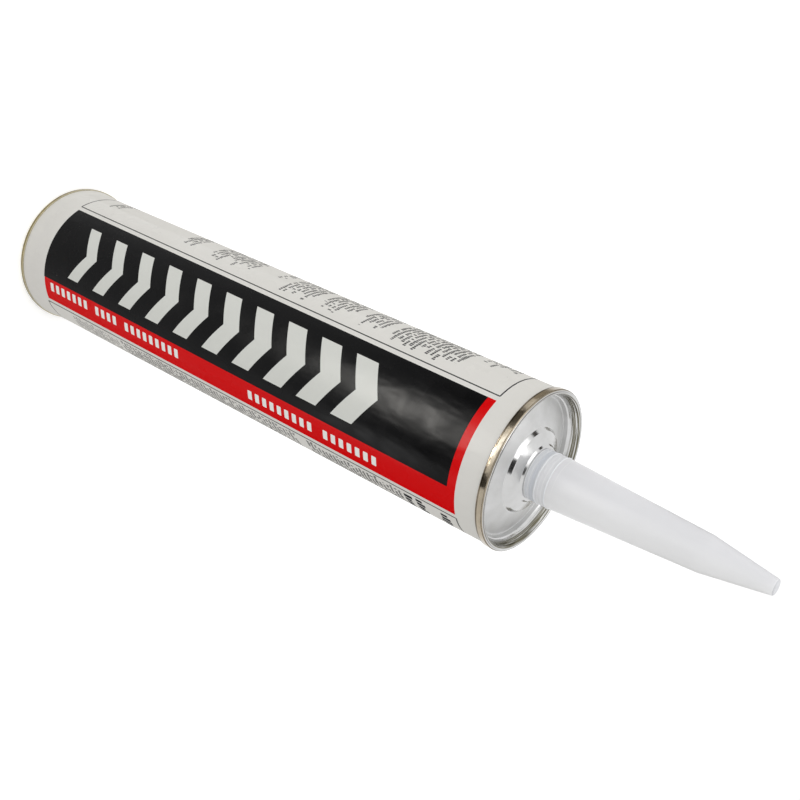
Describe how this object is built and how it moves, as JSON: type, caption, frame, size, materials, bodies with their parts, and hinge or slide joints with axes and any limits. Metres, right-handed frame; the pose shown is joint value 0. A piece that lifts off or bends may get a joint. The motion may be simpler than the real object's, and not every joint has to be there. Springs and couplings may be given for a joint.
{
  "type": "sealant cartridge",
  "caption": "Cylindrical fibreboard sealant cartridge with a paper label, a seamed metal end, a long closed tapered nozzle and a plunger that slides up the tube from its open rear.",
  "frame": {"origin": "centre of the rear rim, on the plane that the cartridge stands on", "axes": "+Z along the tube's axis towards the nozzle's tip; the middle of the label's dark panel faces -Y"},
  "size_m": [0.0518, 0.0518, 0.2901],
  "materials": {
    "fibreboard": "matt",
    "label_paper": "coated, semi-gloss",
    "lacquered_tinplate": "gold lacquer",
    "tinplate": "bright",
    "nozzle_polyethylene": "translucent, satin",
    "foil": "bright",
    "paste": "wet paste",
    "plunger_polyethylene": "satin"
  },
  "bodies": {
    "cartridge": {"body_tube": "fibreboard", "printed_label": "label_paper", "rear_rim": "lacquered_tinplate", "front_end": "tinplate", "nozzle": "nozzle_polyethylene", "inner_seal": "foil", "sealant": "paste"},
    "plunger": {"plunger": "plunger_polyethylene"}
  },
  "joints": [
    {"name": "plunger_slide", "type": "slide", "parent": "cartridge", "child": "plunger", "axis": [0, 0, 1], "range_m": [0, 0.178], "deforming": ["sealant"]}
  ]
}
